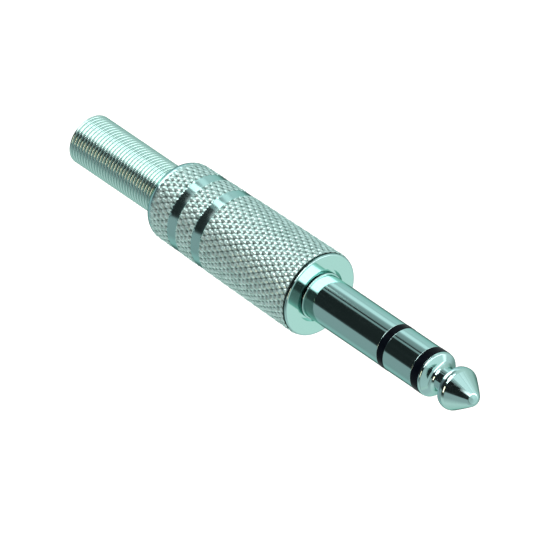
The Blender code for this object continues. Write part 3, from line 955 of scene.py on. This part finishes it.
barrel_outline += arc(
    rear_end + HOLE_EDGE, SPRING_HOLE_R + HOLE_EDGE, HOLE_EDGE, 180, 270, steps=4
)[1:]
barrel_outline += [
    (shoulder, SPRING_HOLE_R),
    (shoulder, BORE_R),
    (stub_end - BORE_STEP_L, BORE_R),
    (stub_end - BORE_STEP_L / 2, THREAD_BORE_R),
]
barrel_bm = turn(barrel_outline, KNURL_STARTS, KNURL_STEPS)
noise.seed_set(KNURL_WANDER_SEED)
# The groove layer holds how low each point lies in the knurl. It splits faces along the valleys,
# and the knurled material paints shade into the pits with it.
depth_layer = barrel_bm.verts.layers.float.new("groove")
knurl_layer = barrel_bm.verts.layers.float.new("knurl")
for vert in barrel_bm.verts:
    x = vert.co.x
    radius = math.hypot(vert.co.y, vert.co.z)
    in_band = any(back - MERGE_DISTANCE <= x <= front + RIM_EDGE for front, back in bands)
    if radius < rim_r - SHELL_SKIN or not in_band:
        continue
    depth = KNURL_DEPTH_FRONT + (KNURL_DEPTH_REAR - KNURL_DEPTH_FRONT) * rearward(x)
    depth *= min(max((barrel_front - x) / KNURL_RIM_FADE, 0), 1)
    fade = min(max((x - knurl_end) / KNURL_REAR_FADE, 0), 1)
    low = (1 - crest(x, math.atan2(vert.co.z, vert.co.y), vert.co)) * fade
    vert[depth_layer] = low
    vert[knurl_layer] = fade
    shrink = 1 - depth * low / radius
    vert.co.y *= shrink
    vert.co.z *= shrink
for face in barrel_bm.faces[:]:
    lowest = [i for i, v in enumerate(face.verts) if v[depth_layer] > KNURL_LOWEST]
    if len(face.verts) == 4 and len(lowest) == 2 and lowest[1] - lowest[0] == 2:
        bmesh.utils.face_split(face, face.verts[lowest[0]], face.verts[lowest[1]])
bmesh.ops.recalc_face_normals(barrel_bm, faces=barrel_bm.faces[:])
thread_ridge(
    barrel_bm, THREAD_BORE_R + SEAT, BARREL_THREAD_CREST_R, stub_end, barrel_front - 2 * RIM_SINK,
    THREAD_PITCH / 2,
)

# Nickel plate over the barrel. The rear and the grooves are nearly as bright as the plug. The knurl
# is satin and a little darker in spots where it is worn. Shade is painted into its deepest pits,
# which its depth darkens almost to black.
KNURL_LIGHT = "#c3dad6"
KNURL_WORN = "#9fb8b3"
# Painted shade: the colour of the deepest knurl pits, and the depths over which it is painted in.
KNURL_PIT_SHADE = "#14201e"
PIT_SHADE_FROM, PIT_SHADE_TO = 0.6, 0.97
KNURL_METALLIC = 0.66
KNURL_SPOT = 0.0005
KNURL_SHINE, KNURL_HAZE = 0.18, 0.3
GROOVE_ROUGHNESS = 0.13
SATIN_CLOUDS_PER_M = 700.0
SATIN_GRAINS_PER_M = 12000.0
SATIN_GRAIN_DEPTH = 4e-6


def satin_nickel(name):
    material, tree, shader = start_surface(name)
    shader.inputs["Specular Tint"].default_value = linear(EDGE_TINT)
    depth = add(tree, "Attribute", attribute_name="groove")
    knurl = add(tree, "Attribute", attribute_name="knurl")
    place = add(tree, "TexCoord")
    cloud = add(
        tree, "TexNoise", {"Scale": SATIN_CLOUDS_PER_M, "Detail": 5.0},
        [("Vector", place, "Object")],
    )
    spots = add(
        tree, "TexNoise", {"Scale": 1 / KNURL_SPOT, "Detail": 1.0}, [("Vector", place, "Object")]
    )
    worn = add(tree, "ValToRGB", links=[("Fac", spots, "Fac")])
    worn.color_ramp.elements[0].position = 0.35
    worn.color_ramp.elements[0].color = linear(KNURL_WORN)
    worn.color_ramp.elements[1].position = 0.6
    worn.color_ramp.elements[1].color = linear(KNURL_LIGHT)
    # Painted shade: the deeper a point lies in the knurl, the more its colour turns to the dark pit
    # colour.
    low = add(
        tree, "MapRange", {"From Min": PIT_SHADE_FROM, "From Max": PIT_SHADE_TO}, [("Value", depth, "Fac")]
    )
    tone = add(
        tree, "Mix", {COLOUR_B: linear(KNURL_PIT_SHADE)},
        [(MIX_SHARE, low, "Result"), (COLOUR_A, worn, "Color")], data_type="RGBA",
    )
    colour = add(
        tree, "Mix", {COLOUR_A: linear(NICKEL)},
        [(MIX_SHARE, knurl, "Fac"), (COLOUR_B, tone, COLOUR_OUT)], data_type="RGBA",
    )
    tree.links.new(colour.outputs[COLOUR_OUT], shader.inputs["Base Color"])
    metal = add(
        tree, "MapRange", {"To Min": 1.0, "To Max": KNURL_METALLIC}, [("Value", knurl, "Fac")]
    )
    tree.links.new(metal.outputs["Result"], shader.inputs["Metallic"])
    cloudy = add(
        tree, "MapRange", {**NOISE_RANGE, "To Min": KNURL_SHINE, "To Max": KNURL_HAZE},
        [("Value", cloud, "Fac")],
    )
    rough = add(
        tree, "Mix", {NUMBER_A: GROOVE_ROUGHNESS},
        [(MIX_SHARE, knurl, "Fac"), (NUMBER_B, cloudy, "Result")], data_type="FLOAT",
    )
    tree.links.new(rough.outputs[NUMBER_OUT], shader.inputs["Roughness"])
    grain = add(
        tree, "TexNoise", {"Scale": SATIN_GRAINS_PER_M, "Detail": 3.0},
        [("Vector", place, "Object")],
    )
    skin = add(
        tree, "Bump", {"Strength": 0.4, "Distance": SATIN_GRAIN_DEPTH}, [("Height", grain, "Fac")]
    )
    tree.links.new(skin.outputs["Normal"], shader.inputs["Normal"])
    return material


satin = satin_nickel("satin_nickel_plate")
make_piece("knurled_barrel", barrel_bm, satin, "barrel", "barrel", sharp=30)

# Spring. Hard-drawn steel wire, close wound and nickel plated, which takes the bending where the
# cable enters. Its wide foot is held between the liner and the barrel's shoulder.
WIRE_D = 0.00055
COIL_PITCH = 0.00056
SPRING_R = 0.003575
FOOT_R = 0.00419
FOOT_TURNS = 1.0
FOOT_TAPER_TURNS = 0.85
WIRE_SIDES = 14
COIL_STEPS = 64
WIRE_END_ANGLE = math.radians(240)

spring_low, spring_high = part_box("spring")
coil_r = SPRING_R - WIRE_D / 2
wire_start = spring_high.x - WIRE_D / 2
wire_end = spring_low.x + WIRE_D / 2
coil_turns = (wire_start - wire_end) / COIL_PITCH
spring_bm = bmesh.new()
bmesh.ops.create_circle(
    spring_bm, segments=WIRE_SIDES, radius=WIRE_D / 2,
    matrix=Matrix.Translation((wire_start, coil_r, 0)),
)
wind(spring_bm, -COIL_PITCH, COIL_STEPS, math.ceil(coil_turns))
past_end = []
for vert in spring_bm.verts:
    part_turn = math.atan2(vert.co.z, vert.co.y) / (2 * math.pi)
    turns = part_turn + round((wire_start - vert.co.x) / COIL_PITCH - part_turn)
    if turns > coil_turns + 0.5 / COIL_STEPS:
        past_end.append(vert)
    taper = min(max((turns - FOOT_TURNS) / FOOT_TAPER_TURNS, 0), 1)
    wider = (FOOT_R - coil_r) * (1 - (3 - 2 * taper) * taper ** 2)
    stretch = 1 + wider / math.hypot(vert.co.y, vert.co.z)
    vert.co.y *= stretch
    vert.co.z *= stretch
bmesh.ops.delete(spring_bm, geom=past_end, context="VERTS")
bmesh.ops.holes_fill(spring_bm, edges=[edge for edge in spring_bm.edges if edge.is_boundary])
bmesh.ops.rotate(
    spring_bm, verts=spring_bm.verts[:], cent=(0, 0, 0),
    matrix=Matrix.Rotation(WIRE_END_ANGLE - 2 * math.pi * (coil_turns % 1), 3, "X"),
)
bmesh.ops.recalc_face_normals(spring_bm, faces=spring_bm.faces[:])

# Nickel plate on drawn spring wire. It is a little cloudier than the plug's turned and polished
# metal, because the plate lies on the skin that the drawing die left.
SPRING_STEEL = "#b9d2cd"
WIRE_SHINE, WIRE_HAZE = 0.12, 0.22
WIRE_CLOUDS_PER_M = 1500.0


def plated_wire(name):
    material, tree, shader = start_surface(name)
    shader.inputs["Base Color"].default_value = linear(SPRING_STEEL)
    shader.inputs["Specular Tint"].default_value = linear(EDGE_TINT)
    shader.inputs["Metallic"].default_value = 1.0
    place = add(tree, "TexCoord")
    cloud = add(
        tree, "TexNoise", {"Scale": WIRE_CLOUDS_PER_M, "Detail": 4.0},
        [("Vector", place, "Object")],
    )
    rough = add(
        tree, "MapRange", {**NOISE_RANGE, "To Min": WIRE_SHINE, "To Max": WIRE_HAZE},
        [("Value", cloud, "Fac")],
    )
    tree.links.new(rough.outputs["Result"], shader.inputs["Roughness"])
    return material


wire = plated_wire("nickel_plated_wire")
make_piece("wound_spring", spring_bm, wire, "spring", "spring", sharp=50)
